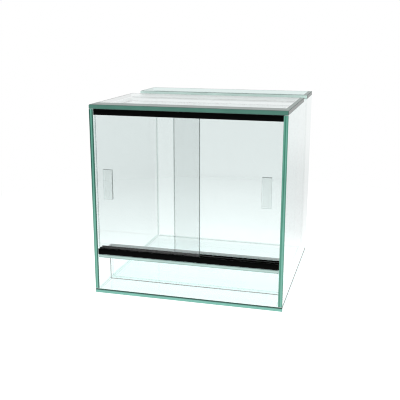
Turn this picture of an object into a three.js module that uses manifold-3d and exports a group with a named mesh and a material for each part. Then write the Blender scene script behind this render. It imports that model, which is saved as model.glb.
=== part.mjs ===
// A frameless glass terrarium cabinet: six body panels bonded edge to edge, two glass doors that
// slide past each other in black double-groove runners, a set-back lower front with a perforated
// air strip above it, and a second perforated strip under the gap in the top.
// Millimetres. X runs left to right, Y front to back, Z up. The origin is the middle of the base.

import * as THREE from 'three';
import { mergeVertices } from 'three/addons/utils/BufferGeometryUtils.js';
import Module from 'manifold-3d';

const wasm = await Module();
wasm.setup();

// ---- Driving sizes -------------------------------------------------------------------------

// Outside of the cabinet
const WIDTH = 300;
const DEPTH = 300;
const HEIGHT = 300;

// Glass
const BODY_GLASS = 6.7;
const LEDGE_GLASS = 5;
const DOOR_GLASS = 4;
const HANDLE_GLASS = 4;
const BODY_ARRIS = 0.5;       // width of the small chamfer ground along each glass edge
const DOOR_ARRIS = 0.4;
const BOND_FILM = 0.3;        // adhesive film between two bonded faces

// Top: a front panel, an open gap for air and a rear panel
const TOP_REAR_DEPTH = 74;
const TOP_VENT_GAP = 45;

// Lower front: a ledge that carries the runner, and an upright panel set back under its rear
const LEDGE_TOP = 64.5;       // height of the ledge's upper face above the table
const RECESS_DEPTH = 45.5;    // front edges to the upright panel

// Runners: plastic extrusions with one groove for each door
const RUNNER_SET_IN = 0.3;    // runners and ledge behind the cabinet's front edges
const RUNNER_WALL = 1.6;      // outer walls of the section
const RUNNER_SKIN = 1.3;      // thickness round the hollow chambers
const RUNNER_CHAMBER = 1.8;   // height of the chambers under the bottom grooves
const CHAMBER_CORNER = 0.4;
const TOP_RUNNER_WEB = 1.5;   // plastic above the top grooves
const BOTTOM_GROOVE = 4.6;    // depth of the bottom grooves
const TOP_ENGAGEMENT = 2.5;   // how far a resting door reaches into the top groove
const GROOVE_LEAD = 0.4;      // chamfer at each groove's mouth
const RUNNER_END_GAP = 0.3;
const CUT_PAST = 1;           // how far a cutting shape runs past the face that it cuts

// Doors
const DOOR_OVERLAP = 42.6;    // how far the closed doors cover each other
const DOOR_END_GAP = 0.5;     // closed door to side panel
const SLIDE_GAP = 0.3;        // door to groove wall and groove floor

// Finger grips: glass strips on clear pads, halfway up the opening
const HANDLE_WIDTH = 14.6;
const HANDLE_LENGTH = 46.5;
const LEFT_HANDLE_INSET = 13.1;  // outer edge of the door to the grip
const RIGHT_HANDLE_INSET = 14.7;
const PAD_THICKNESS = 0.4;
const PAD_INSET = 1;
const PAD_GAP = 0.05;         // pad to the glass on each side of it
const HANDLE_PASSING_GAP = 0.9; // rear grip to the back of the front door

// Perforated air strips: round holes in staggered rows
const SHEET = 1;
const HOLE_DIAMETER = 5;
const HOLE_PITCH = 8;
const HOLE_SIDES = 8;
const SHEET_RIM = 3;          // least plain metal from a hole to the sheet's end
const HOLE_MARGIN = 1;        // least distance from a hole to the glass that carries the strip
const FRONT_STRIP_LAP = 4.5;  // strip on the rear margin of the ledge
const TOP_STRIP_LAP = 8;      // strip under each top panel

// Silicone seams in the inner corners
const SEAM_LEG = 3;           // leg of the fillet along each panel
const SEAM_HOLLOW = 0.3;      // how far the tooled face is drawn in, as a share of the leg
const SEAM_END_GAP = 0.3;     // seam's end to the next seam or panel
const SEAM_STEPS = 4;

// ---- Sizes that follow ---------------------------------------------------------------------

const left = -WIDTH / 2;
const right = WIDTH / 2;
const front = -DEPTH / 2;
const back = DEPTH / 2;
const innerLeft = left + BODY_GLASS;
const innerRight = right - BODY_GLASS;
const innerBack = back - BODY_GLASS;
const floorTop = BODY_GLASS;
const topUnderside = HEIGHT - BODY_GLASS;
const wallBottom = floorTop + BOND_FILM;
const wallTop = topUnderside - BOND_FILM;
const betweenLeft = innerLeft + BOND_FILM;
const betweenRight = innerRight - BOND_FILM;

// Runner section, front to back: wall, groove, middle wall, groove, wall
const gripThickness = HANDLE_GLASS + PAD_THICKNESS + 2 * PAD_GAP;
const grooveWidth = DOOR_GLASS + 2 * SLIDE_GAP;
const middleWall = gripThickness + HANDLE_PASSING_GAP - 2 * SLIDE_GAP;
const runnerDepth = 2 * RUNNER_WALL + 2 * grooveWidth + middleWall;
const bottomRunnerHeight = 2 * RUNNER_SKIN + RUNNER_CHAMBER + BOTTOM_GROOVE;
const topGroove = BOTTOM_GROOVE + TOP_ENGAGEMENT;
const topRunnerHeight = TOP_RUNNER_WEB + topGroove;

const runnerFront = front + RUNNER_SET_IN;
const runnerBack = runnerFront + runnerDepth;
const bottomRunnerFoot = LEDGE_TOP + BOND_FILM;
const topRunnerHead = topUnderside - BOND_FILM;

// Doors stand on the bottom grooves, and can be lifted out by the bottom groove's depth
const leftDoorFront = runnerFront + RUNNER_WALL + SLIDE_GAP;
const rightDoorFront = leftDoorFront + grooveWidth + middleWall;
const doorBottom = bottomRunnerFoot + bottomRunnerHeight - BOTTOM_GROOVE + SLIDE_GAP;
const doorTop = topRunnerHead - TOP_RUNNER_WEB - BOTTOM_GROOVE;
const closedLeft = innerLeft + DOOR_END_GAP;
const closedRight = innerRight - DOOR_END_GAP;
const doorWidth = (closedRight - closedLeft + DOOR_OVERLAP) / 2;

// Lower front
const stripFront = runnerBack + BOND_FILM;
const ledgeBack = stripFront + FRONT_STRIP_LAP;
const lowerFrontFace = front + RECESS_DEPTH;
const lowerFrontBack = lowerFrontFace + BODY_GLASS;
const frontStripBottom = LEDGE_TOP + BOND_FILM;

// Top gap
const topRearFront = back - TOP_REAR_DEPTH;
const topFrontBack = topRearFront - TOP_VENT_GAP;
const topStripTop = topUnderside - BOND_FILM;

// ---- Materials -----------------------------------------------------------------------------

function glassMaterial(color, opacity) {
  return new THREE.MeshStandardMaterial({
    color, opacity, transparent: true, roughness: 0.05, metalness: 0,
  });
}

const bodyGlassMaterial = () => glassMaterial(0xcfe9e3, 0.35);
const doorGlassMaterial = () => glassMaterial(0xdcefeb, 0.3);
const gripGlassMaterial = () => glassMaterial(0xd9e3e1, 0.5);
const siliconeMaterial = () => glassMaterial(0xd5dcdb, 0.5);

function runnerMaterial() {
  return new THREE.MeshStandardMaterial({ color: 0x0b0d0d, roughness: 0.45, metalness: 0 });
}

function aluminiumMaterial() {
  return new THREE.MeshStandardMaterial({ color: 0xa9b0af, roughness: 0.4, metalness: 0.9 });
}

// ---- Shapes --------------------------------------------------------------------------------

const object = new THREE.Group();

// Each drawing plane is named by the axis it is extruded along: its across, up and along axes.
const X = new THREE.Vector3(1, 0, 0);
const Y = new THREE.Vector3(0, 1, 0);
const Z = new THREE.Vector3(0, 0, 1);
const planes = { x: [Y, Z, X], y: [Z, X, Y], z: [X, Y, Z] };

function addMesh(name, geometry, position, material) {
  const mesh = new THREE.Mesh(geometry, material);
  mesh.name = name;
  mesh.position.copy(position);
  object.add(mesh);
}

// A rectangle of the given size, centred on its drawing plane
function rectangle(across, up) {
  const shape = new THREE.Shape();
  shape.moveTo(-across / 2, -up / 2);
  shape.lineTo(across / 2, -up / 2);
  shape.lineTo(across / 2, up / 2);
  shape.lineTo(-across / 2, up / 2);
  shape.closePath();
  return shape;
}

// A sheet of glass that fills the box from low to high, with an arris ground along every edge.
// thin is the axis of its thickness.
function addPane(name, thin, low, high, arris, material) {
  const size = high.clone().sub(low);
  const [across, up, along] = planes[thin];
  const thickness = size.dot(along);
  const geometry = new THREE.ExtrudeGeometry(rectangle(size.dot(across), size.dot(up)), {
    depth: thickness - 2 * arris,
    bevelEnabled: true,
    bevelThickness: arris,
    bevelSize: arris,
    bevelOffset: -arris,
    bevelSegments: 1,
  });
  geometry.translate(0, 0, arris - thickness / 2);
  geometry.applyMatrix4(new THREE.Matrix4().makeBasis(across, up, along));
  addMesh(name, geometry, low.clone().add(high).multiplyScalar(0.5), material);
}

// A flat-ended extrusion of a shape drawn in the plane of one axis. It starts at zero along that
// axis, unless start moves it.
function extrudeAlong(axis, shape, length, start = 0) {
  const geometry = new THREE.ExtrudeGeometry(shape, {
    depth: length,
    bevelEnabled: false,
    curveSegments: SEAM_STEPS,
  });
  geometry.translate(0, 0, start);
  geometry.applyMatrix4(new THREE.Matrix4().makeBasis(...planes[axis]));
  return geometry;
}

// A geometry as a solid that can be cut
function toSolid(geometry) {
  const plain = geometry.clone();
  plain.deleteAttribute('normal');
  plain.deleteAttribute('uv');
  const merged = mergeVertices(plain);
  return new wasm.Manifold(new wasm.Mesh({
    numProp: 3,
    vertProperties: merged.attributes.position.array,
    triVerts: new Uint32Array(merged.index.array),
  }));
}

function toGeometry(solid) {
  const mesh = solid.getMesh();
  const geometry = new THREE.BufferGeometry();
  geometry.setAttribute('position', new THREE.BufferAttribute(mesh.vertProperties, mesh.numProp));
  geometry.setIndex(new THREE.BufferAttribute(mesh.triVerts, 1));
  geometry.computeVertexNormals();
  return geometry;
}

function point(x, y, z) {
  return new THREE.Vector3(x, y, z);
}

// ---- Body panels ---------------------------------------------------------------------------

function addBodyPane(name, thin, low, high) {
  addPane(name, thin, low, high, BODY_ARRIS, bodyGlassMaterial());
}

addBodyPane('floor_panel', 'z', point(left, front, 0), point(right, back, floorTop));
addBodyPane('left_side_panel', 'x', point(left, front, wallBottom), point(innerLeft, back, wallTop));
addBodyPane('right_side_panel', 'x', point(innerRight, front, wallBottom), point(right, back, wallTop));
addBodyPane(
  'back_panel', 'y',
  point(betweenLeft, innerBack, wallBottom),
  point(betweenRight, back, wallTop),
);
addBodyPane(
  'top_front_panel', 'z',
  point(left, front, topUnderside),
  point(right, topFrontBack, HEIGHT),
);
addBodyPane(
  'top_rear_panel', 'z',
  point(left, topRearFront, topUnderside),
  point(right, back, HEIGHT),
);
addBodyPane(
  'lower_front_panel', 'y',
  point(betweenLeft, lowerFrontFace, wallBottom),
  point(betweenRight, lowerFrontBack, LEDGE_TOP),
);
addBodyPane(
  'track_ledge', 'z',
  point(betweenLeft, runnerFront, LEDGE_TOP - LEDGE_GLASS),
  point(betweenRight, ledgeBack, LEDGE_TOP),
);

// ---- Runners -------------------------------------------------------------------------------

// A runner is a bar with two grooves and its hollow chambers cut right through it. Its bonded
// face lies on up = 0. side is 1 for grooves that open upwards and -1 for ones that open downwards.
// A hollow foot has a chamber under each groove as well as the one in its middle wall.
function addRunner({ name, height, grooveDepth, side, bondedFace, hollowFoot }) {
  const from = innerLeft + RUNNER_END_GAP;
  const length = innerRight - RUNNER_END_GAP - from;
  const frontGroove = RUNNER_WALL;
  const rearGroove = RUNNER_WALL + grooveWidth + middleWall;
  const grooveFloor = height - grooveDepth;
  const middle = runnerDepth / 2;
  const halfChamber = middleWall / 2 - RUNNER_SKIN;

  const bar = polygon([[0, 0], [runnerDepth, 0], [runnerDepth, height], [0, height]], side);
  const cuts = [chamber(middle - halfChamber, middle + halfChamber, height - RUNNER_SKIN, side)];
  for (const near of [frontGroove, rearGroove]) {
    cuts.push(groove(near, height, grooveFloor, side));
    if (hollowFoot) {
      cuts.push(chamber(near, near + grooveWidth, grooveFloor - RUNNER_SKIN, side));
    }
  }

  let solid = toSolid(extrudeAlong('x', bar, length));
  for (const cut of cuts) {
    solid = solid.subtract(toSolid(extrudeAlong('x', cut, length + 2 * CUT_PAST, -CUT_PAST)));
  }
  addMesh(name, toGeometry(solid), point(from, runnerFront, bondedFace), runnerMaterial());
}

// A closed outline through the given points. side flips it upside down.
function polygon(points, side) {
  return new THREE.Shape(points.map(([across, up]) => new THREE.Vector2(across, side * up)));
}

// A groove with a chamfered mouth, cut from above the bar down to its floor
function groove(near, height, floor, side) {
  const far = near + grooveWidth;
  const above = height + CUT_PAST;
  const flare = GROOVE_LEAD + CUT_PAST;
  return polygon([
    [near, floor], [far, floor], [far, height - GROOVE_LEAD],
    [far + flare, above], [near - flare, above], [near, height - GROOVE_LEAD],
  ], side);
}

// A hollow with chamfered corners, one skin above the bonded face
function chamber(near, far, top, side) {
  const low = RUNNER_SKIN;
  const corner = CHAMBER_CORNER;
  return polygon([
    [near, low + corner], [near + corner, low], [far - corner, low], [far, low + corner],
    [far, top - corner], [far - corner, top], [near + corner, top], [near, top - corner],
  ], side);
}

addRunner({
  name: 'bottom_runner',
  height: bottomRunnerHeight,
  grooveDepth: BOTTOM_GROOVE,
  side: 1,
  bondedFace: bottomRunnerFoot,
  hollowFoot: true,
});
addRunner({
  name: 'top_runner',
  height: topRunnerHeight,
  grooveDepth: topGroove,
  side: -1,
  bondedFace: topRunnerHead,
  hollowFoot: false,
});

// ---- Doors and their finger grips ----------------------------------------------------------

const gripLow = (LEDGE_TOP + topUnderside - HANDLE_LENGTH) / 2;
const leftDoor = {
  name: 'left', edge: closedLeft, inward: 1, face: leftDoorFront, inset: LEFT_HANDLE_INSET,
};
const rightDoor = {
  name: 'right', edge: closedRight, inward: -1, face: rightDoorFront, inset: RIGHT_HANDLE_INSET,
};

for (const door of [leftDoor, rightDoor]) {
  const otherEdge = door.edge + door.inward * doorWidth;
  addPane(
    `${door.name}_door`, 'y',
    point(Math.min(door.edge, otherEdge), door.face, doorBottom),
    point(Math.max(door.edge, otherEdge), door.face + DOOR_GLASS, doorTop),
    DOOR_ARRIS, doorGlassMaterial(),
  );

  const gripMiddle = door.edge + door.inward * (door.inset + HANDLE_WIDTH / 2);
  const padBack = door.face - PAD_GAP;
  const gripBack = padBack - PAD_THICKNESS - PAD_GAP;
  addPane(
    `${door.name}_handle`, 'y',
    point(gripMiddle - HANDLE_WIDTH / 2, gripBack - HANDLE_GLASS, gripLow),
    point(gripMiddle + HANDLE_WIDTH / 2, gripBack, gripLow + HANDLE_LENGTH),
    DOOR_ARRIS, gripGlassMaterial(),
  );

  const padShape = rectangle(HANDLE_LENGTH - 2 * PAD_INSET, HANDLE_WIDTH - 2 * PAD_INSET);
  const pad = extrudeAlong('y', padShape, PAD_THICKNESS);
  const padFront = point(gripMiddle, padBack - PAD_THICKNESS, gripLow + HANDLE_LENGTH / 2);
  addMesh(`${door.name}_handle_pad`, pad, padFront, siliconeMaterial());
}

// ---- Perforated air strips -----------------------------------------------------------------

// Staggered rows of round holes over the open part of a strip. Neighbouring rows are shifted by
// half a pitch, so that every hole has six neighbours at the same distance.
function perforate(shape, length, openNear, openFar) {
  const rowPitch = HOLE_PITCH * Math.sin(Math.PI / 3);
  const openWidth = openFar - openNear - 2 * HOLE_MARGIN;
  const rows = Math.floor((openWidth - HOLE_DIAMETER) / rowPitch) + 1;
  const perRow = Math.floor((length - HOLE_DIAMETER - 2 * SHEET_RIM) / HOLE_PITCH) + 1;
  const firstRow = (openNear + openFar - (rows - 1) * rowPitch) / 2;
  for (let row = 0; row < rows; row += 1) {
    const holes = perRow - (row % 2);
    for (let i = 0; i < holes; i += 1) {
      const across = (i - (holes - 1) / 2) * HOLE_PITCH;
      shape.holes.push(roundHole(across, firstRow + row * rowPitch));
    }
  }
}

function roundHole(across, up) {
  const hole = new THREE.Path();
  for (let i = 0; i < HOLE_SIDES; i += 1) {
    const angle = ((i + 0.5) / HOLE_SIDES) * 2 * Math.PI;
    const u = across + (HOLE_DIAMETER / 2) * Math.cos(angle);
    const v = up + (HOLE_DIAMETER / 2) * Math.sin(angle);
    if (i === 0) hole.moveTo(u, v);
    else hole.lineTo(u, v);
  }
  hole.closePath();
  return hole;
}

// A strip between the side panels that bridges the opening from openNear to openFar
function addAirStrip(name, near, far, openNear, openFar, underside) {
  const middle = (near + far) / 2;
  const length = betweenRight - betweenLeft;
  const shape = rectangle(length, far - near);
  perforate(shape, length, openNear - middle, openFar - middle);
  const geometry = extrudeAlong('z', shape, SHEET);
  addMesh(name, geometry, point(0, middle, underside), aluminiumMaterial());
}

addAirStrip(
  'front_vent_strip', stripFront, lowerFrontBack, ledgeBack, lowerFrontFace, frontStripBottom,
);
addAirStrip(
  'top_vent_strip',
  topFrontBack - TOP_STRIP_LAP, topRearFront + TOP_STRIP_LAP,
  topFrontBack, topRearFront, topStripTop - SHEET,
);

// ---- Silicone seams ------------------------------------------------------------------------

// A tooled fillet along one inner corner. acrossSide and upSide say which way its legs run from
// the corner, in the plane of the axis that the seam runs along.
function addSeam(name, axis, from, to, corner, acrossSide, upSide) {
  const across = acrossSide * SEAM_LEG;
  const up = upSide * SEAM_LEG;
  const shape = new THREE.Shape();
  shape.moveTo(0, 0);
  shape.lineTo(across, 0);
  shape.quadraticCurveTo(across * SEAM_HOLLOW, up * SEAM_HOLLOW, 0, up);
  shape.closePath();

  const [acrossAxis, upAxis, alongAxis] = planes[axis];
  const start = corner.clone();
  start.addScaledVector(acrossAxis, acrossSide * BOND_FILM);
  start.addScaledVector(upAxis, upSide * BOND_FILM);
  start.addScaledVector(alongAxis, from - start.dot(alongAxis));
  addMesh(name, extrudeAlong(axis, shape, to - from), start, siliconeMaterial());
}

const seamReach = BOND_FILM + SEAM_LEG + SEAM_END_GAP;
const cabinFront = lowerFrontBack + SEAM_END_GAP;
const cabinBack = innerBack - SEAM_END_GAP;
const ledgeUnderside = LEDGE_TOP - LEDGE_GLASS;
const stripNear = topFrontBack - TOP_STRIP_LAP;
const stripFar = topRearFront + TOP_STRIP_LAP;

const sides = [
  { name: 'left', wall: innerLeft, inward: 1 },
  { name: 'right', wall: innerRight, inward: -1 },
];

for (const side of sides) {
  const toWall = (y, z) => point(side.wall, y, z);

  // Along the floor, in the cabin and in the recess under the ledge
  addSeam(
    `floor_${side.name}_seam`, 'y', cabinFront, cabinBack,
    toWall(0, floorTop), 1, side.inward,
  );
  addSeam(
    `recess_${side.name}_seam`, 'y', front + SEAM_END_GAP, lowerFrontFace - SEAM_END_GAP,
    toWall(0, floorTop), 1, side.inward,
  );

  // Upright, at the back and behind the lower front panel
  addSeam(
    `back_${side.name}_seam`, 'z', floorTop + seamReach, wallTop - SEAM_END_GAP,
    toWall(innerBack, 0), side.inward, -1,
  );
  addSeam(
    `lower_front_${side.name}_seam`, 'z', floorTop + seamReach, LEDGE_TOP - SEAM_END_GAP,
    toWall(lowerFrontBack, 0), side.inward, 1,
  );

  // Under the ends of the ledge
  addSeam(
    `ledge_${side.name}_seam`, 'y', runnerFront + SEAM_END_GAP, ledgeBack,
    toWall(0, ledgeUnderside), -1, side.inward,
  );

  // Under the top panels, on both sides of the air strip
  addSeam(
    `top_front_${side.name}_seam`, 'y', runnerBack + SEAM_END_GAP, stripNear - SEAM_END_GAP,
    toWall(0, topUnderside), -1, side.inward,
  );
  addSeam(
    `top_rear_${side.name}_seam`, 'y', stripFar + SEAM_END_GAP, innerBack - seamReach,
    toWall(0, topUnderside), -1, side.inward,
  );
}

// Across the cabinet, between the seams on the two sides
const acrossFrom = innerLeft + seamReach;
const acrossTo = innerRight - seamReach;
const backAtFloor = point(0, innerBack, floorTop);
const frontAtFloor = point(0, lowerFrontBack, floorTop);
const backAtTop = point(0, innerBack, topUnderside);
addSeam('floor_back_seam', 'x', acrossFrom, acrossTo, backAtFloor, -1, 1);
addSeam('floor_front_seam', 'x', acrossFrom, acrossTo, frontAtFloor, 1, 1);
addSeam('top_back_seam', 'x', acrossFrom, acrossTo, backAtTop, -1, -1);

export default object;
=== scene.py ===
import bpy
import math
from mathutils import Matrix, Vector


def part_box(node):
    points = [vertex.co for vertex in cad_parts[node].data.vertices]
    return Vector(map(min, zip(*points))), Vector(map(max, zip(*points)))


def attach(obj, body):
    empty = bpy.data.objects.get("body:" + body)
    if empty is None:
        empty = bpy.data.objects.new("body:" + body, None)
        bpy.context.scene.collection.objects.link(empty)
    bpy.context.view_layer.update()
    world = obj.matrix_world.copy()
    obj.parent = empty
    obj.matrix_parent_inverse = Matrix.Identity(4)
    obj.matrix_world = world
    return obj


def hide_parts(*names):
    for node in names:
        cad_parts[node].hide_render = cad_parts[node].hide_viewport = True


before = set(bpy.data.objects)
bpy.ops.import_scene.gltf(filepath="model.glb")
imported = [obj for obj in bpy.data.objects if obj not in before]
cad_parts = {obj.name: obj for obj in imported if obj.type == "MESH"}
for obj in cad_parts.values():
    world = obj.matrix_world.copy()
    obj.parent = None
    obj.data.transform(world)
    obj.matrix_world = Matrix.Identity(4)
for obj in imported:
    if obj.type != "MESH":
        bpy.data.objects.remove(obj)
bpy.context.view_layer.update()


# The camera stands to the right of the cabinet and a little above its top, as in the photograph.
# It looks slightly down and to the left, so that the outer face of the right side shows as a sliver.
LENS, SENSOR_WIDTH = 61.23, 36
CAMERA_AT = (0.27697, -1.09133, 0.41469)
TURN_LEFT, LOOK_DOWN, ROLL = 15.105, 14.416, 0.057

camera_data = bpy.data.cameras.new("camera")
camera_data.lens = LENS
camera_data.sensor_width = SENSOR_WIDTH
camera = bpy.data.objects.new("camera", camera_data)
bpy.context.scene.collection.objects.link(camera)
camera.location = CAMERA_AT
camera.rotation_euler = (
    Matrix.Rotation(math.radians(TURN_LEFT), 3, "Z")
    @ Matrix.Rotation(math.radians(90 - LOOK_DOWN), 3, "X")
    @ Matrix.Rotation(math.radians(ROLL), 3, "Z")
).to_euler()
bpy.context.scene.camera = camera


# The room is white all round, so that nothing shows behind the cabinet. Only the mirror images in the
# glass see it greyer, and dimmer still to the right behind the back, which gives the doors and the
# top their faint tone. Each row of tones goes from straight down at 0 to straight up at 1.
ROOM_LIGHT = 1.05
ROOM_AHEAD = ((0.0, 1.2), (0.333, 1.2), (0.342, 0.80), (0.347, 0.45), (0.355, 0.30), (0.39, 0.34),
              (0.42, 0.21), (0.5, 0.16), (0.7, 0.3), (1.0, 0.9))
ROOM_BEHIND = ((0.0, 1.35), (0.333, 1.32), (0.345, 1.08), (0.355, 0.90), (0.375, 0.79),
               (0.398, 0.78), (0.422, 0.90), (0.45, 0.93), (0.55, 0.88), (0.62, 0.9), (1.0, 0.9))
BRIGHTEST_TONE = 2
BLEND_AT_SIDES = 0.3
RIGHT_STARTS, RIGHT_ENDS, RIGHT_TONE = 0.12, 0.38, 0.67
DIM_STARTS, DIM_ENDS = 0.338, 0.39

scene = bpy.context.scene
scene.view_settings.view_transform = "Standard"
scene.view_settings.look = "None"
scene.cycles.transparent_max_bounces = 48
scene.cycles.max_bounces = 16
scene.cycles.glossy_bounces = 6
scene.cycles.filter_width = 1.1


def add_node(tree, kind, inputs=None, **settings):
    """Adds a node. An input is a value, an output, or a node, of which the first output is taken."""
    node = tree.nodes.new("ShaderNode" + kind)
    for setting, choice in settings.items():
        setattr(node, setting, choice)
    for socket, value in (inputs or {}).items():
        if isinstance(value, bpy.types.Node):
            value = value.outputs[0]
        if isinstance(value, bpy.types.NodeSocket):
            tree.links.new(value, node.inputs[socket])
        else:
            node.inputs[socket].default_value = value
    return node


def stretch_range(tree, value, low, high, to_low=0.0, to_high=1.0):
    """Lets a value between low and high run from to_low to to_high."""
    return add_node(tree, "MapRange", {"Value": value, "From Min": low, "From Max": high,
                                       "To Min": to_low, "To Max": to_high})


def follow_tones(tree, value, tones, handles):
    """A brightness that follows a row of places and tones."""
    node = add_node(tree, "FloatCurve", {"Value": value})
    curve = node.mapping.curves[0]
    for place, tone in tones[1:-1]:
        curve.points.new(place, tone)
    curve.points[0].location = tones[0]
    curve.points[-1].location = tones[-1]
    for point in curve.points:
        point.handle_type = handles
    node.mapping.update()
    return node


room = bpy.data.worlds.new("white_room")
scene.world = room
room.use_nodes = True
tree = room.node_tree
tree.nodes.clear()
way = add_node(tree, "TexCoord")
parts = add_node(tree, "SeparateXYZ", {0: way.outputs["Generated"]})
height = stretch_range(tree, parts.outputs["Z"], -1, 1)
ahead, behind = [
    follow_tones(tree, height, [(place, tone / BRIGHTEST_TONE) for place, tone in tones], "VECTOR")
    for tones in (ROOM_AHEAD, ROOM_BEHIND)
]
dimmed = stretch_range(tree, height, DIM_STARTS, DIM_ENDS, 1.0, RIGHT_TONE)
to_right = stretch_range(tree, parts.outputs["X"], RIGHT_STARTS, RIGHT_ENDS, 1.0, dimmed)
wall = add_node(tree, "Math", {0: behind, 1: to_right}, operation="MULTIPLY")
round_room = stretch_range(tree, parts.outputs["Y"], -BLEND_AT_SIDES, BLEND_AT_SIDES)
mirrored = add_node(tree, "Mix", {0: round_room, 2: ahead, 3: wall})
full_tone = add_node(tree, "Math", {0: mirrored, 1: BRIGHTEST_TONE}, operation="MULTIPLY")
ray = add_node(tree, "LightPath")
in_glass = add_node(tree, "Mix", {0: ray.outputs["Is Glossy Ray"], 2: ROOM_LIGHT, 3: full_tone})
seen = add_node(tree, "Mix", {0: ray.outputs["Is Camera Ray"], 2: in_glass, 3: 1.0})
shine = add_node(tree, "Background", {"Color": (1, 1, 1, 1), "Strength": seen})
add_node(tree, "OutputWorld", {"Surface": shine})


# The cabinet stands on a round white light table with a broad lamp above it. The table glows from
# below, by the distance from its middle in metres, so that the cabinet casts no shadow and the rim
# fades into the room. The glass mirrors neither the table nor the lamp.
TABLE_RADIUS, TABLE_SIDES, TABLE_DROP = 0.75, 96, 0.0004
TABLE_PAINT, TABLE_ROUGHNESS = 0.35, 0.9
TABLE_GLOW = ((0.0, 0.95), (0.2, 0.95), (0.32, 0.82), (0.5, 0.71), (0.72, 0.615), (1.0, 0.615))
LAMP_HEIGHT, LAMP_WIDTH, LAMP_POWER = 0.95, 0.7, 2.0

lamp_data = bpy.data.lights.new("broad_lamp", "AREA")
lamp_data.shape = "DISK"
lamp_data.size = LAMP_WIDTH
lamp_data.energy = LAMP_POWER
lamp = bpy.data.objects.new("broad_lamp", lamp_data)
scene.collection.objects.link(lamp)
lamp.location = (0, 0, LAMP_HEIGHT)
lamp.visible_camera = False
lamp.visible_glossy = False

bpy.ops.object.select_all(action="DESELECT")
bpy.ops.mesh.primitive_circle_add(vertices=TABLE_SIDES, radius=TABLE_RADIUS, fill_type="NGON",
                                  location=(0, 0, -TABLE_DROP))
table_top = bpy.context.active_object
table_top.name = "table_top"
bpy.ops.object.transform_apply(location=True, rotation=False, scale=False)
white_table = bpy.data.materials.new("white_table")
white_table.use_nodes = True
tree = white_table.node_tree
paint = tree.nodes["Principled BSDF"]
paint.inputs["Base Color"].default_value = (TABLE_PAINT, TABLE_PAINT, TABLE_PAINT, 1)
paint.inputs["Roughness"].default_value = TABLE_ROUGHNESS
paint.inputs["Specular IOR Level"].default_value = 0.0
paint.inputs["Emission Color"].default_value = (1, 1, 1, 1)
place = add_node(tree, "TexCoord")
from_middle = add_node(tree, "VectorMath", {0: place.outputs["Object"]}, operation="LENGTH")
glow = follow_tones(tree, from_middle.outputs["Value"], TABLE_GLOW, "AUTO")
tree.links.new(glow.outputs[0], paint.inputs["Emission Strength"])
table_top.visible_glossy = False
table_top.data.materials.append(white_table)


# The floor of the cabinet is a pane of float glass that carries everything else. It is cut to size,
# its edges are ground and polished, and the sharp corners are taken off as a narrow arris. Seen from
# the front its edge is painted with a dark line at the top over a bright sea green band, as the light
# and shade of reflections inside the glass.
ARRIS, FLOOR_LINE = 0.0005, 0.0010
GLASS_IOR, MIRRORED_STRAIGHT_ON = 1.52, 0.043
HAZE = 0.008
TABLE_LIGHT_FROM, TABLE_LIGHT_TO = 0.12, 0.19
PALE_FROM, PALE_TO = 0.66, 0.84
TOUCH, LEANS, SQUARE_ON, SHARP = 1e-6, 0.3, 0.99, 80
FACE, EDGE, CORNER, WETTED, LINE = range(5)


def new_finish(name):
    """A new material and its nodes."""
    finish = bpy.data.materials.new(name)
    finish.use_nodes = True
    return finish, finish.node_tree


def own_place(tree):
    """The place on the piece, for patterns that stay with it."""
    return add_node(tree, "TexCoord").outputs["Object"]


def grain_of(tree, place, scale, detail):
    """A cloudy grain from 0 to 1."""
    return add_node(tree, "TexNoise", {"Vector": place, "Scale": scale, "Detail": detail})


def see_through(tree, tint):
    """Lets light straight through, with a tint."""
    return add_node(tree, "BsdfTransparent", {"Color": (*tint, 1)})


def part_of_each(tree, share, first, second):
    """Two surfaces in one, with the given share of the second."""
    return add_node(tree, "MixShader", {0: share, 1: first, 2: second})


def colour_row(tree, value, stops):
    """A colour that follows a row of places and colours."""
    node = add_node(tree, "ValToRGB", {0: value})
    row = node.color_ramp.elements
    for element, (position, colour) in ((row[0], stops[0]), (row[1], stops[-1])):
        element.position = position
        element.color = (*colour, 1)
    for position, colour in stops[1:-1]:
        row.new(position).color = (*colour, 1)
    return node


def shades_of(tree, value, tone, spread):
    """A tone that is a little darker and lighter with the grain, by the share in spread."""
    return colour_row(tree, value, ((0.35, [part * (1 - spread) for part in tone]),
                                    (0.65, [part * (1 + spread) for part in tone])))


def mirrored_share(tree):
    """How much light glass throws back: little straight on, and all of it at a flat angle."""
    slant = add_node(tree, "LayerWeight", {"Blend": 0.5})
    fifth = add_node(tree, "Math", {0: slant.outputs["Facing"], 1: 5}, operation="POWER")
    return add_node(tree, "Math", {0: fifth, 1: 1 - MIRRORED_STRAIGHT_ON, 2: MIRRORED_STRAIGHT_ON},
                    operation="MULTIPLY_ADD")


def clear_glass(name, cast, haze, gloss=(1, 1, 1)):
    """Clean float glass: light goes straight through with a slight cast, and more of it is mirrored
    the flatter the surface is looked along. Wiping leaves a faint haze in soft streaks."""
    finish, tree = new_finish(name)
    tree.nodes.clear()
    passed = see_through(tree, cast)
    mirror = add_node(tree, "BsdfAnisotropic", {"Color": (*gloss, 1), "Roughness": 0.02})
    pane = part_of_each(tree, mirrored_share(tree), passed, mirror)
    streak = add_node(tree, "Mapping", {"Vector": own_place(tree), "Scale": (9, 9, 2.5)})
    wipe = grain_of(tree, streak, scale=3, detail=4)
    film = stretch_range(tree, wipe, 0.45, 0.75, 0.0, haze)
    dust = add_node(tree, "BsdfDiffuse", {"Color": (0.8, 0.84, 0.83, 1)})
    wiped = part_of_each(tree, film, pane, dust)
    add_node(tree, "OutputMaterial", {"Surface": wiped})
    return finish


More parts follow.
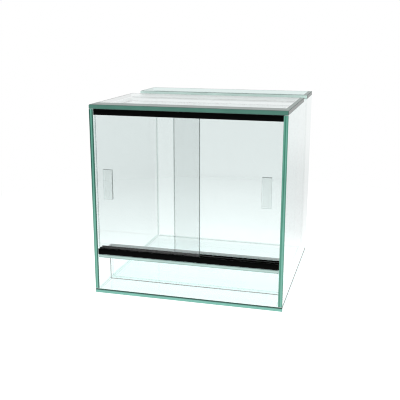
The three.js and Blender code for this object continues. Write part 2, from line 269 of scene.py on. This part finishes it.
def ground_edge(name, axis, low, high, bands, inside=(0.93, 0.97, 0.965), table_lit_bands=None,
                painted_sheen=None):
    """A ground and polished glass edge. bands are the colours across the thickness, from low to high
    along axis: the long way through the glass gives the green, and their light and dark bands are
    painted light and shade of the reflections inside the pane. table_lit_bands are those near the
    table, painted lighter for the table's light. From inside it is much paler, and so it is from a
    flat angle, or else, where painted_sheen is given, it shows a painted grey sheen of that colour."""
    finish, tree = new_finish(name)
    edge = tree.nodes["Principled BSDF"]
    edge.inputs["IOR"].default_value = GLASS_IOR
    place = own_place(tree)
    parts = add_node(tree, "SeparateXYZ", {0: place})
    across = stretch_range(tree, parts.outputs[axis], low, high)
    upper = colour_row(tree, across, bands)
    lower = colour_row(tree, across, table_lit_bands or bands)
    up = stretch_range(tree, parts.outputs["Z"], TABLE_LIGHT_FROM, TABLE_LIGHT_TO)
    body = add_node(tree, "Mix", {"Factor": up, "A": lower, "B": upper}, data_type="RGBA")
    cloud = grain_of(tree, place, scale=38, detail=5)
    depth = stretch_range(tree, cloud, 0, 1, 0.82, 1.18)
    shade = add_node(tree, "VectorMath", {0: body.outputs["Result"], "Scale": depth},
                     operation="SCALE")
    tree.links.new(shade.outputs[0], edge.inputs["Base Color"])
    fine_grain = grain_of(tree, place, scale=900, detail=3)
    polish = stretch_range(tree, fine_grain, 0, 1, 0.08, 0.28)
    tree.links.new(polish.outputs[0], edge.inputs["Roughness"])
    back = add_node(tree, "NewGeometry").outputs["Backfacing"]
    slant = add_node(tree, "LayerWeight")
    flat = stretch_range(tree, slant.outputs["Facing"], PALE_FROM, PALE_TO)
    through = see_through(tree, inside)
    if painted_sheen:
        sheen = add_node(tree, "BsdfDiffuse", {"Color": (*painted_sheen, 1)})
        surface = part_of_each(tree, back, part_of_each(tree, flat, edge, sheen), through)
    else:
        pale = add_node(tree, "Math", {0: back, 1: flat}, operation="MAXIMUM")
        surface = part_of_each(tree, pale, edge, through)
    tree.links.new(surface.outputs[0], tree.nodes["Material Output"].inputs["Surface"])
    return finish


def ground_corner(name, tone):
    """The narrow arris along a pane's corners: left matt by the stone, it reads as a thin line."""
    finish, tree = new_finish(name)
    stone = tree.nodes["Principled BSDF"]
    stone.inputs["Specular IOR Level"].default_value = 0.3
    grain = grain_of(tree, own_place(tree), scale=420, detail=4)
    tree.links.new(shades_of(tree, grain, tone, 0.25).outputs[0], stone.inputs["Base Color"])
    matt = stretch_range(tree, grain, 0, 1, 0.35, 0.65)
    tree.links.new(matt.outputs[0], stone.inputs["Roughness"])
    return finish


def wetted_joint(name):
    """An edge that is bonded to the next pane: the silicone wets it, so that light goes through."""
    finish, tree = new_finish(name)
    rubber = tree.nodes["Principled BSDF"]
    rubber.inputs["Base Color"].default_value = (0.5, 0.55, 0.54, 1)
    rubber.inputs["Roughness"].default_value = 0.5
    passed = see_through(tree, (0.985, 0.995, 0.993))
    cloud = grain_of(tree, own_place(tree), scale=60, detail=3)
    film = stretch_range(tree, cloud, 0, 1, 0.0, 0.02)
    surface = part_of_each(tree, film, passed, rubber)
    tree.links.new(surface.outputs[0], tree.nodes["Material Output"].inputs["Surface"])
    return finish


wetted = wetted_joint("wetted_joint")
joint_line = ground_corner("joint_line", (0.10, 0.104, 0.102))
smeared_line = ground_corner("smeared_joint_line", (0.47, 0.485, 0.48))


def take_up(piece):
    """Makes a piece the only one that the next operators act on."""
    bpy.ops.object.select_all(action="DESELECT")
    piece.select_set(True)
    bpy.context.view_layer.objects.active = piece


def block(name, low, high):
    """A plain bar between two corners, to be worked on or to cut another piece with."""
    bpy.ops.object.select_all(action="DESELECT")
    bpy.ops.mesh.primitive_cube_add(size=1, location=(low + high) / 2)
    bar = bpy.context.active_object
    bar.name = name
    bar.scale = high - low
    bpy.ops.object.transform_apply(location=True, rotation=False, scale=True)
    return bar


def pick_edges(piece, wanted):
    """Picks the edges whose two ends are as wanted, and leaves the piece in edit mode."""
    take_up(piece)
    bpy.ops.object.mode_set(mode="EDIT")
    bpy.ops.mesh.select_mode(type="EDGE")
    bpy.ops.mesh.select_all(action="DESELECT")
    bpy.ops.object.mode_set(mode="OBJECT")
    for edge in piece.data.edges:
        edge.select = wanted(*[piece.data.vertices[corner].co for corner in edge.vertices])
    bpy.ops.object.mode_set(mode="EDIT")


def grind_picked(width, steps=1):
    """Takes the picked edges off by a width, flat or rounded in steps."""
    bpy.ops.mesh.bevel(offset=width, offset_type="OFFSET", segments=steps, affect="EDGES")


def score_pane(pane, axis, place):
    """Scores a line right round the pane, so that a strip of it can have its own finish."""
    take_up(pane)
    bpy.ops.object.mode_set(mode="EDIT")
    bpy.ops.mesh.select_all(action="SELECT")
    at = Vector((0, 0, 0))
    at["XYZ".index(axis)] = place
    across = Vector((0, 0, 0))
    across["XYZ".index(axis)] = 1
    bpy.ops.mesh.bisect(plane_co=at, plane_no=across)
    bpy.ops.object.mode_set(mode="OBJECT")


def cut_pane(name, node, thin, arris, face, edge, corner, bonded=(), lines=(), soft=(), bead=0.0,
             smear=0.0):
    """A block the size of the CAD pane with its corners ground off. Its two large faces get the
    clear glass, the narrow ones between them the edge glass, and the arrises the ground finish. The
    sides, such as +X, that are bonded to other panes look wetted, and soft ones have polished
    arrises. lines are the corners where the silicone ends in a grey line. It lies on the arris,
    ground as wide as the bead, or else it is smeared on the face beside it."""
    low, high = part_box(node)

    def axis_and_place(side):
        axis = "XYZ".index(side[1])
        return axis, (high if side[0] == "+" else low)[axis]

    def on_line(*ends):
        return any(all(abs(end[axis] - place) < TOUCH
                       for axis, place in map(axis_and_place, line) for end in ends)
                   for line in lines)

    pane = block(name, low, high)
    pick_edges(pane, on_line)
    if bead:
        grind_picked(bead)
    bpy.ops.mesh.select_all(action="DESELECT")
    bpy.ops.mesh.edges_select_sharp(sharpness=math.radians(SHARP))
    grind_picked(arris)
    bpy.ops.object.mode_set(mode="OBJECT")
    smears = []
    if smear:
        for line in lines:
            foot, smeared_side = sorted(line, key=lambda side: side[1] == thin)
            axis, place = axis_and_place(foot)
            score_pane(pane, foot[1], place - smear if foot[0] == "+" else place + smear)
            smears.append((smeared_side, axis, place))

    for finish in (face, edge, corner, wetted, smeared_line if smear else joint_line):
        pane.data.materials.append(finish)
    for polygon in pane.data.polygons:
        sides = {("-" if part < 0 else "+") + axis
                 for axis, part in zip("XYZ", polygon.normal) if abs(part) > LEANS}
        is_free = any(side not in bonded and side[1] != thin for side in sides)
        edge_or_wetted = EDGE if is_free else WETTED
        in_smear = any(sides == {side} and abs(polygon.center[axis] - place) < smear
                       for side, axis, place in smears)
        if in_smear or any(sides == set(line) for line in lines):
            polygon.material_index = LINE
        elif len(sides) == 1:
            polygon.material_index = FACE if thin in min(sides) else edge_or_wetted
        elif sides & set(bonded):
            polygon.material_index = edge_or_wetted
        else:
            polygon.material_index = EDGE if sides & set(soft) else CORNER
    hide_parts(node)
    return pane


body_corner = ground_corner("body_glass_arris", (0.060, 0.100, 0.088))
body_face = clear_glass("body_glass_face", (0.958, 0.997, 0.994), HAZE)
low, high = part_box("floor_panel")
floor_edge = ground_edge("floor_glass_edge", "Z", low.z, high.z, (
    (0.0, (0.16, 0.43, 0.35)), (0.3, (0.175, 0.46, 0.38)), (0.60, (0.165, 0.44, 0.36)),
    (0.74, (0.018, 0.080, 0.058)), (1.0, (0.012, 0.060, 0.045)),
))
floor_face = clear_glass("floor_glass_face", (0.935, 0.988, 0.984), HAZE)
floor_glass = cut_pane("floor_glass", "floor_panel", "Z", ARRIS, floor_face, floor_edge, body_corner,
                       lines=(("+X", "+Z"), ("-X", "+Z")), soft=("-Z", "+Y"), bead=FLOOR_LINE)
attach(floor_glass, "cabinet")


# The two sides are panes of the same glass that stand on the floor pane. The silicone that bonds
# them is smeared a little way up the glass. Their front edges frame the doors, painted with the light
# and shade of reflections inside the glass: the left one has a pale core between dark lines, and the
# right one a dark core between pale bands. Near the table both are painted lighter for its light.
SIDE_DARK, SIDE_DEEP, SIDE_PALE, SIDE_BRIGHT = (
    (0.024, 0.105, 0.076), (0.045, 0.200, 0.140), (0.120, 0.350, 0.265), (0.165, 0.430, 0.340),
)
RIGHT_RIM, RIGHT_TABLE_LIT_DEEP, RIGHT_TABLE_LIT_RIM = (
    (0.075, 0.230, 0.170), (0.070, 0.260, 0.190), (0.105, 0.310, 0.240),
)
LEFT_SMEAR, RIGHT_SMEAR = 0.0008, 0.0027
side_corner = ground_corner("side_glass_arris", (0.110, 0.260, 0.205))
left_bands = ((0.0, SIDE_DARK), (0.26, SIDE_DARK), (0.38, SIDE_PALE), (0.60, SIDE_PALE),
              (0.74, SIDE_DARK), (1.0, SIDE_DARK))
left_table_lit_bands = ((0.0, SIDE_PALE), (0.30, SIDE_PALE), (0.45, SIDE_BRIGHT), (0.62, SIDE_BRIGHT),
                  (0.76, SIDE_DARK), (1.0, SIDE_DARK))
right_bands = ((0.0, SIDE_PALE), (0.24, SIDE_PALE), (0.38, SIDE_DEEP), (0.50, SIDE_DEEP),
               (0.64, SIDE_BRIGHT), (0.78, SIDE_PALE), (0.90, RIGHT_RIM), (1.0, RIGHT_RIM))
right_table_lit_bands = ((0.0, SIDE_PALE), (0.12, SIDE_PALE), (0.24, RIGHT_TABLE_LIT_DEEP),
                   (0.38, RIGHT_TABLE_LIT_DEEP), (0.52, SIDE_BRIGHT), (0.70, SIDE_BRIGHT),
                   (0.84, RIGHT_TABLE_LIT_RIM), (1.0, RIGHT_TABLE_LIT_RIM))
for name, node, bands, side_table_lit_bands, smear in (
    ("left_side_glass", "left_side_panel", left_bands, left_table_lit_bands, LEFT_SMEAR),
    ("right_side_glass", "right_side_panel", right_bands, right_table_lit_bands, RIGHT_SMEAR),
):
    low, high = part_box(node)
    side_edge = ground_edge(name + "_edge", "X", low.x, high.x, bands, table_lit_bands=side_table_lit_bands)
    side_glass = cut_pane(name, node, "X", ARRIS, body_face, side_edge, side_corner,
                          bonded=("-Z", "+Z"), lines=(("+X", "-Z"),), soft=("+Y",), smear=smear)
    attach(side_glass, "cabinet")


# The back is a pane that is set between the two sides and stands on the floor pane, with beads of
# silicone in its corners. Only its faces and the thin lines of its edges show from the front.
low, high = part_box("back_panel")
back_edge = ground_edge("back_glass_edge", "Y", low.y, high.y, (
    (0.0, (0.10, 0.24, 0.20)), (0.5, (0.18, 0.36, 0.31)), (1.0, (0.10, 0.24, 0.20)),
))
back_glass = cut_pane("back_glass", "back_panel", "Y", ARRIS, body_face, back_edge, body_corner,
                      bonded=("-X", "+X", "-Z", "+Z"), lines=(("-X", "-Y"), ("-Y", "-Z")))
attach(back_glass, "cabinet")


# The lower front is a low upright pane, set back from the doors under the rear of the air strip. It
# keeps the substrate in and lets air rise in front of it. The silicone at its foot and its left end
# is smeared a little way over its front face.
LOWER_FRONT_SMEAR = 0.0020
low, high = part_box("lower_front_panel")
lower_edge = ground_edge("lower_front_glass_edge", "Y", low.y, high.y, (
    (0.0, (0.10, 0.24, 0.20)), (0.5, (0.20, 0.38, 0.33)), (1.0, (0.10, 0.24, 0.20)),
))
lower_front_glass = cut_pane("lower_front_glass", "lower_front_panel", "Y", ARRIS, body_face,
                             lower_edge, body_corner, bonded=("-X", "+X", "-Z"),
                             lines=(("-X", "-Y"), ("-Y", "-Z")), smear=LOWER_FRONT_SMEAR)
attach(lower_front_glass, "cabinet")


# The ledge is a narrow strip of glass between the sides that carries the lower runner. Its front
# edge is painted pale, for the light from the white table below.
low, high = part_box("track_ledge")
ledge_edge = ground_edge("ledge_glass_edge", "Z", low.z, high.z, (
    (0.0, (0.30, 0.47, 0.43)), (0.5, (0.46, 0.62, 0.58)), (1.0, (0.34, 0.50, 0.46)),
))
ledge_glass = cut_pane("ledge_glass", "track_ledge", "Z", ARRIS, body_face, ledge_edge, body_corner,
                       bonded=("-X", "+X"))
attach(ledge_glass, "cabinet")


# The front pane of the top lies on the sides, and the upper runner hangs under its front. Where it
# is bonded to the runner and to the right side, their black and green show through the gloss.
BOND_BEHIND_RUNNER, TOP_LINE = 0.011, 0.00125
OVER_RUNNER, OVER_SIDE, TOP_END = range(LINE + 1, LINE + 4)
low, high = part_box("top_front_panel")
runner_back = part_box("top_runner")[1].y
side_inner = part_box("right_side_panel")[0].x


def backed_glass(name, backing, gloss):
    """The face of a pane that lies on something dark: its gloss, over the backing's colour."""
    finish, tree = new_finish(name)
    below = tree.nodes["Principled BSDF"]
    below.inputs["Specular IOR Level"].default_value = 0.0
    grain = grain_of(tree, own_place(tree), scale=120, detail=4)
    tone = shades_of(tree, grain, backing, 0.15)
    tree.links.new(tone.outputs[0], below.inputs["Base Color"])
    mirror = add_node(tree, "BsdfAnisotropic", {"Color": (*gloss, 1), "Roughness": 0.03})
    surface = part_of_each(tree, mirrored_share(tree), below, mirror)
    tree.links.new(surface.outputs[0], tree.nodes["Material Output"].inputs["Surface"])
    return finish


top_front_edge = ground_edge("top_front_glass_edge", "Z", low.z, high.z, (
    (0.0, (0.060, 0.165, 0.128)), (0.3, (0.078, 0.210, 0.165)), (0.7, (0.070, 0.200, 0.155)),
    (1.0, (0.085, 0.205, 0.165)),
))
over_runner = backed_glass("glass_over_runner", (0.012, 0.020, 0.018), (0.75, 0.81, 0.79))
over_side = backed_glass("glass_over_side", (0.040, 0.125, 0.095), (0.70, 0.68, 0.69))
# The ends of the top panes show a painted grey sheen when seen at a flat angle.
top_end = ground_edge("top_glass_end", "Z", low.z, high.z, (
    (0.0, (0.060, 0.165, 0.128)), (0.5, (0.078, 0.210, 0.165)), (1.0, (0.085, 0.205, 0.165)),
), inside=(0.72, 0.745, 0.74), painted_sheen=(0.34, 0.35, 0.345))
top_front_glass = cut_pane("top_front_glass", "top_front_panel", "Z", ARRIS, body_face,
                           top_front_edge, body_corner, lines=(("-X", "+Z"),), soft=("-X",),
                           bead=TOP_LINE)
score_pane(top_front_glass, "Y", runner_back + BOND_BEHIND_RUNNER)
score_pane(top_front_glass, "X", side_inner)
score_pane(top_front_glass, "X", -side_inner)
for finish in (over_runner, over_side, top_end):
    top_front_glass.data.materials.append(finish)
for polygon in top_front_glass.data.polygons:
    if polygon.normal.z > SQUARE_ON:
        if polygon.center.x > side_inner:
            polygon.material_index = OVER_SIDE
        elif polygon.center.y < runner_back + BOND_BEHIND_RUNNER:
            polygon.material_index = OVER_RUNNER
    elif abs(polygon.normal.x) > SQUARE_ON:
        polygon.material_index = TOP_END
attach(top_front_glass, "cabinet")


# The rear pane of the top is a strip that closes the cabinet behind the air gap. Its front edge
# faces the gap and is painted pale, for the light behind it, as it is seen nearly level with that
# light.
REAR_OVER_SIDE, REAR_END, REAR_EDGE = range(LINE + 1, LINE + 4)
low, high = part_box("top_rear_panel")
top_rear_edge = ground_edge("top_rear_glass_edge", "Z", low.z, high.z, (
    (0.0, (0.45, 0.58, 0.55)), (0.25, (0.58, 0.75, 0.70)), (1.0, (0.66, 0.82, 0.77)),
))
top_rear_face = clear_glass("top_rear_glass_face", (0.925, 0.985, 0.975), HAZE,
                            gloss=(0.80, 0.91, 0.89))
top_rear_glass = cut_pane("top_rear_glass", "top_rear_panel", "Z", ARRIS, top_rear_face,
                          top_rear_edge, body_corner, lines=(("-X", "+Z"),), soft=("-X",),
                          bead=TOP_LINE)
score_pane(top_rear_glass, "X", side_inner)
score_pane(top_rear_glass, "X", -side_inner)
for finish in (over_side, top_end, top_front_edge):
    top_rear_glass.data.materials.append(finish)
for polygon in top_rear_glass.data.polygons:
    if polygon.normal.z > SQUARE_ON and polygon.center.x > side_inner:
        polygon.material_index = REAR_OVER_SIDE
    elif abs(polygon.normal.x) > SQUARE_ON:
        polygon.material_index = REAR_END
    elif polygon.normal.y > SQUARE_ON:
        polygon.material_index = REAR_EDGE
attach(top_rear_glass, "cabinet")


# The runners are black extruded plastic with two grooves each, bonded to the glass. They are hollow
# between the grooves, and the lower one under them too. The die leaves fine lines along the satin
# surface. The upper grooves are deeper, so that a door can be lifted out.
GROOVE_PLAY, RUNNER_SKIN, PAST = 0.0003, 0.0013, 0.001
BOTTOM_GROOVE, TOP_GROOVE = 0.0046, 0.0071
LEAD_IN, LEAD_STEPS = 0.0004, 3
SOFT_CORNER, CORNER_STEPS = 0.0002, 2
SMOOTH_UNDER = 30
runner_plastic, tree = new_finish("black_runner_plastic")
plastic = tree.nodes["Principled BSDF"]
plastic.inputs["Specular IOR Level"].default_value = 0.04
place = own_place(tree)
along = add_node(tree, "Mapping", {"Vector": place, "Scale": (6, 1800, 1800)})
die_lines = grain_of(tree, along, scale=1, detail=2)
tone = colour_row(tree, die_lines, (
    (0.3, (0.0004, 0.0006, 0.0006)), (0.75, (0.0018, 0.0020, 0.0021)),
))
tree.links.new(tone.outputs[0], plastic.inputs["Base Color"])
handled = grain_of(tree, place, scale=160, detail=4)
satin = stretch_range(tree, handled, 0, 1, 0.30, 0.55)
tree.links.new(satin.outputs[0], plastic.inputs["Roughness"])
relief = add_node(tree, "Bump", {"Strength": 0.25, "Distance": 0.0001, "Height": die_lines})
tree.links.new(relief.outputs["Normal"], plastic.inputs["Normal"])


def cut_away(piece, cutter):
    """Takes the cutter's shape out of the piece, and clears the cutter away."""
    take_up(piece)
    bpy.ops.object.modifier_add(type="BOOLEAN")
    cut = piece.modifiers[-1]
    cut.operation = "DIFFERENCE"
    cut.solver = "EXACT"
    cut.object = cutter
    bpy.ops.object.modifier_apply(modifier=cut.name)
    bpy.data.objects.remove(cutter, do_unlink=True)


def runs_level(first, second, height):
    """Whether an edge lies at a height and runs along the cabinet's width."""
    return (abs(first.z - height) < TOUCH and abs(second.z - height) < TOUCH
            and abs(first.y - second.y) < TOUCH)


grooves = []
for door in ("left_door", "right_door"):
    low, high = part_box(door)
    grooves.append((low.y - GROOVE_PLAY, high.y + GROOVE_PLAY))
for name, node, groove_depth, opens_up in (
    ("lower_runner", "bottom_runner", BOTTOM_GROOVE, True),
    ("upper_runner", "top_runner", TOP_GROOVE, False),
):
    low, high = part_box(node)
    mouth, foot, outward = (high.z, low.z, 1) if opens_up else (low.z, high.z, -1)
    groove_floor = mouth - outward * groove_depth
    bottom, top = sorted((groove_floor, mouth + outward * PAST))
    cuts = [(near, far, bottom, top) for near, far in grooves]
    cuts.append((grooves[0][1] + RUNNER_SKIN, grooves[1][0] - RUNNER_SKIN,
                 low.z + RUNNER_SKIN, high.z - RUNNER_SKIN))
    if opens_up:
        for near, far in grooves:
            cuts.append((near, far, low.z + RUNNER_SKIN, groove_floor - RUNNER_SKIN))
    runner = block(name, low, high)
    for near, far, bottom, top in cuts:
        cut_away(runner, block("runner_cutter", Vector((low.x - PAST, near, bottom)),
                               Vector((high.x + PAST, far, top))))
    pick_edges(runner, lambda first, second: runs_level(first, second, mouth))
    grind_picked(LEAD_IN, LEAD_STEPS)
    bpy.ops.object.mode_set(mode="OBJECT")
    pick_edges(runner, lambda first, second: runs_level(first, second, foot)
               and min(abs(first.y - low.y), abs(first.y - high.y)) < TOUCH)
    grind_picked(SOFT_CORNER, CORNER_STEPS)
    bpy.ops.object.mode_set(mode="OBJECT")
    bpy.ops.object.shade_smooth_by_angle(angle=math.radians(SMOOTH_UNDER))
    runner.data.materials.clear()
    runner.data.materials.append(runner_plastic)
    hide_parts(node)
    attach(runner, "cabinet")


# The air strips are 1 mm sheets of natural aluminium with punched round holes in staggered rows. One
# bridges the gap behind the lower runner and is painted darker, as the shade it lies in there; one
# lies under the gap in the top.
HOLE, PITCH, HOLE_SIDES, STAGGER_ANGLE = 0.005, 0.008, 20, 60
ROW_PITCH = PITCH * math.sin(math.radians(STAGGER_ANGLE))
HOLE_MARGIN, SHEET_RIM, BURR = 0.001, 0.003, 0.0001
COUNT_SLACK = 1e-4


def rolled_sheet(name, dark, light):
    """Sheet with the fine lines of the rolling mill along it, from dark to light."""
    finish, tree = new_finish(name)
    metal = tree.nodes["Principled BSDF"]
    metal.inputs["Metallic"].default_value = 1.0
    along = add_node(tree, "Mapping", {"Vector": own_place(tree), "Scale": (12, 900, 900)})
    rolling = grain_of(tree, along, scale=1, detail=3)
    tone = colour_row(tree, rolling, ((0.3, dark), (0.7, light)))
    tree.links.new(tone.outputs[0], metal.inputs["Base Color"])
    satin = stretch_range(tree, rolling, 0, 1, 0.28, 0.45)
    tree.links.new(satin.outputs[0], metal.inputs["Roughness"])
    return finish


def repeat_punch(punch, count, step):
    """Repeats the active punch count times, each a step further on."""
    bpy.ops.object.modifier_add(type="ARRAY")
    repeat = punch.modifiers[-1]
    repeat.use_relative_offset = False
    repeat.use_constant_offset = True
    repeat.constant_offset_displace = step
    repeat.count = count
    bpy.ops.object.modifier_apply(modifier=repeat.name)


for name, node, open_near, open_far, dark, light in (
    ("front_air_strip", "front_vent_strip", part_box("track_ledge")[1].y,
     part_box("lower_front_panel")[0].y, (0.40, 0.43, 0.43), (0.52, 0.55, 0.55)),
    ("top_air_strip", "top_vent_strip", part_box("top_front_panel")[1].y,
     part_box("top_rear_panel")[0].y, (0.82, 0.86, 0.86), (0.92, 0.95, 0.95)),
):
    low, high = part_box(node)
    strip = block(name, low, high)
    pick_edges(strip, lambda first, second: True)
    grind_picked(BURR)
    bpy.ops.object.mode_set(mode="OBJECT")
    punched_width = open_far - open_near - 2 * HOLE_MARGIN - HOLE
    punched_length = high.x - low.x - 2 * SHEET_RIM - HOLE
    rows = math.floor(punched_width / ROW_PITCH + COUNT_SLACK) + 1
    in_row = math.floor(punched_length / PITCH + COUNT_SLACK) + 1
    first_row = (open_near + open_far - (rows - 1) * ROW_PITCH) / 2
    for shift in (0, 1):
        holes = in_row - shift
        bpy.ops.object.select_all(action="DESELECT")
        bpy.ops.mesh.primitive_cylinder_add(
            vertices=HOLE_SIDES, radius=HOLE / 2, depth=high.z - low.z + 2 * PAST,
            location=(-(holes - 1) / 2 * PITCH, first_row + shift * ROW_PITCH, (low.z + high.z) / 2),
        )
        punch = bpy.context.active_object
        bpy.ops.object.transform_apply(location=True, rotation=False, scale=False)
        repeat_punch(punch, holes, (PITCH, 0, 0))
        repeat_punch(punch, (rows + 1 - shift) // 2, (0, 2 * ROW_PITCH, 0))
        cut_away(strip, punch)
    bpy.ops.object.shade_smooth_by_angle(angle=math.radians(SMOOTH_UNDER))
    strip.data.materials.clear()
    strip.data.materials.append(rolled_sheet(name + "_aluminium", dark, light))
    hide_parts(node)
    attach(strip, "cabinet")


# A bead of clear silicone runs round every inner corner and holds the panes together. It is masked
# and smoothed with a finger, so that only its two feathered edges show, as thin grey lines.
CLEAR, FEATHERED, OUTER_CLEAR = 0.02, 0.12, 0.01
clear_bead, tree = new_finish("clear_silicone")
tree.nodes.clear()
passed = see_through(tree, (0.97, 0.985, 0.98))
rubber = add_node(tree, "BsdfPrincipled", {"Base Color": (0.42, 0.46, 0.455, 1), "Roughness": 0.3})
place = add_node(tree, "TexCoord")
parts = add_node(tree, "SeparateXYZ", {0: place.outputs["Normal"]})
leans = [add_node(tree, "Math", {0: parts.outputs[axis]}, operation="ABSOLUTE") for axis in "XYZ"]
squareness = leans[0]
for lean in leans[1:]:
    squareness = add_node(tree, "Math", {0: squareness, 1: lean}, operation="MAXIMUM")
cover = colour_row(tree, squareness, (
    (0.74, [CLEAR] * 3), (0.79, [FEATHERED] * 3), (0.93, [FEATHERED] * 3), (0.98, [OUTER_CLEAR] * 3),
))
add_node(tree, "OutputMaterial", {"Surface": part_of_each(tree, cover, passed, rubber)})
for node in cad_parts:
    if node.endswith("_seam"):
        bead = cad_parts[node]
        bead.data.materials.clear()
        bead.data.materials.append(clear_bead)


# The doors are panes of 4 mm glass that slide past each other in the two grooves. Their polished
# upright edges are narrow and painted nearly black, as the shade they show when the light goes along
# the pane.
DOOR_ARRIS = 0.0004
door_corner = ground_corner("door_glass_arris", (0.10, 0.125, 0.12))
door_face = clear_glass("door_glass_face", (0.954, 0.962, 0.961), HAZE)
for name, node, body in (
    ("front_door_glass", "left_door", "front_sliding_door"),
    ("rear_door_glass", "right_door", "rear_sliding_door"),
):
    low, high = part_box(node)
    door_edge = ground_edge(name + "_edge", "Y", low.y, high.y, (
        (0.0, (0.020, 0.036, 0.034)), (0.5, (0.012, 0.028, 0.025)), (1.0, (0.020, 0.036, 0.034)),
    ), inside=(0.84, 0.90, 0.89))
    door_glass = cut_pane(name, node, "Y", DOOR_ARRIS, door_face, door_edge, door_corner)
    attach(door_glass, body)


# The finger grips are small pieces of the same 4 mm glass, bonded to the doors with clear pads that
# are slightly milky. Their polished edges read as grey lines.
GRIP_HAZE = 0.02
grip_face = clear_glass("grip_glass_face", (0.993, 0.999, 0.998), GRIP_HAZE)
grip_corner = ground_corner("grip_glass_arris", (0.52, 0.56, 0.55))
grip_pad, tree = new_finish("milky_bonding_pad")
tree.nodes.clear()
passed = see_through(tree, (0.985, 0.99, 0.988))
milk = add_node(tree, "BsdfPrincipled", {"Base Color": (0.66, 0.72, 0.71, 1), "Roughness": 0.4})
cloud = grain_of(tree, own_place(tree), scale=700, detail=3)
cover = stretch_range(tree, cloud, 0, 1, 0.04, 0.10)
add_node(tree, "OutputMaterial", {"Surface": part_of_each(tree, cover, passed, milk)})
for name, node, body in (
    ("front_grip_glass", "left_handle", "front_sliding_door"),
    ("rear_grip_glass", "right_handle", "rear_sliding_door"),
):
    low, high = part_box(node)
    grip_edge = ground_edge(name + "_edge", "Y", low.y, high.y, (
        (0.0, (0.30, 0.35, 0.34)), (0.5, (0.24, 0.29, 0.28)), (1.0, (0.30, 0.35, 0.34)),
    ), inside=(0.91, 0.94, 0.937))
    grip = cut_pane(name, node, "Y", DOOR_ARRIS, grip_face, grip_edge, grip_corner,
                    lines=(("-Y", "+Z"), ("+Y", "+Z")), soft=("+Y", "-Z"))
    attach(grip, body)
    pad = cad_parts[node + "_pad"]
    pad.data.materials.clear()
    pad.data.materials.append(grip_pad)
